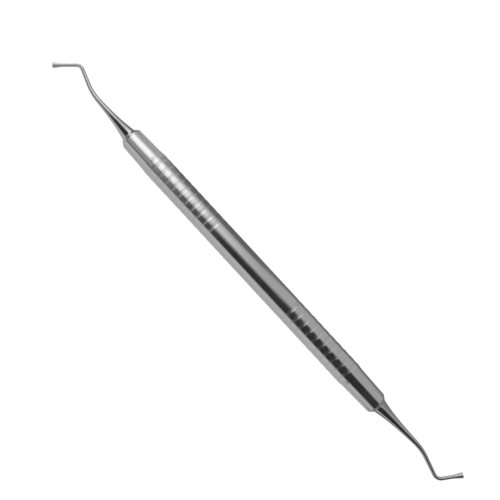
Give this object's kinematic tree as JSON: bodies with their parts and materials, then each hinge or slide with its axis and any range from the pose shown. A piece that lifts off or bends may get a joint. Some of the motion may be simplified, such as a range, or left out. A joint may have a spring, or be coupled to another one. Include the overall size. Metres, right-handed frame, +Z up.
{
  "type": "dental plugger",
  "caption": "Dental hand instrument: a straight handle with ring-grooved grips, and at each end a bent, tapering shank that flares to a flat round plugging face.",
  "frame": {"origin": "on the handle's axis, midway between the two grooved grips, which is the middle of the bare band", "axes": "+X along the handle from the small end to the large end, +Y the way the large tip points in the plane of the bends, +Z up, square to that plane, with the instrument lying on its handle"},
  "size_m": [0.1734, 0.0089, 0.008],
  "materials": {
    "handle_steel": "satin, turned",
    "working_end_steel": "polished"
  },
  "bodies": {
    "root": {"handle": "handle_steel", "small_working_end": "working_end_steel", "large_working_end": "working_end_steel"}
  },
  "joints": []
}
